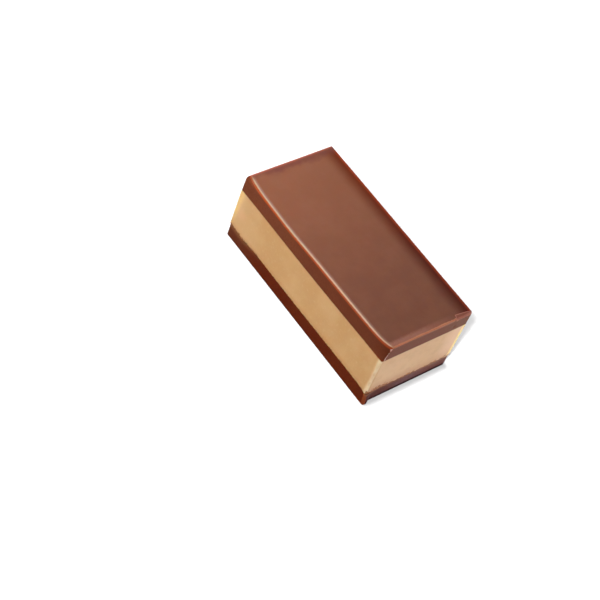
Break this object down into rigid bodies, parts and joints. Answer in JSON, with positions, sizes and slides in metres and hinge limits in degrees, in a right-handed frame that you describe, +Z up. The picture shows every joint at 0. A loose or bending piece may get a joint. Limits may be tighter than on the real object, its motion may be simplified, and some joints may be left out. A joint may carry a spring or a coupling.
{
  "type": "nougat chocolate bar",
  "caption": "Small cut bar of pale nougat between a thin lower and a thicker upper layer of milk chocolate, with a smooth gently rolled top.",
  "frame": {"origin": "middle of the flat base that the bar stands on", "axes": "+X along the bar's length, towards the end with the chipped rim; +Y across it, towards the side whose upper rim is straight; +Z up through the layers"},
  "size_m": [0.0404, 0.0189, 0.0149],
  "materials": {
    "lower_chocolate": "satin, knife-cut milk chocolate",
    "nougat_paste": "matte, fine-grained nougat paste",
    "upper_chocolate": "satin milk chocolate, set with a smooth face and knife-cut sides"
  },
  "bodies": {
    "root": {"bottom_chocolate": "lower_chocolate", "nougat": "nougat_paste", "top_chocolate": "upper_chocolate"}
  },
  "joints": []
}
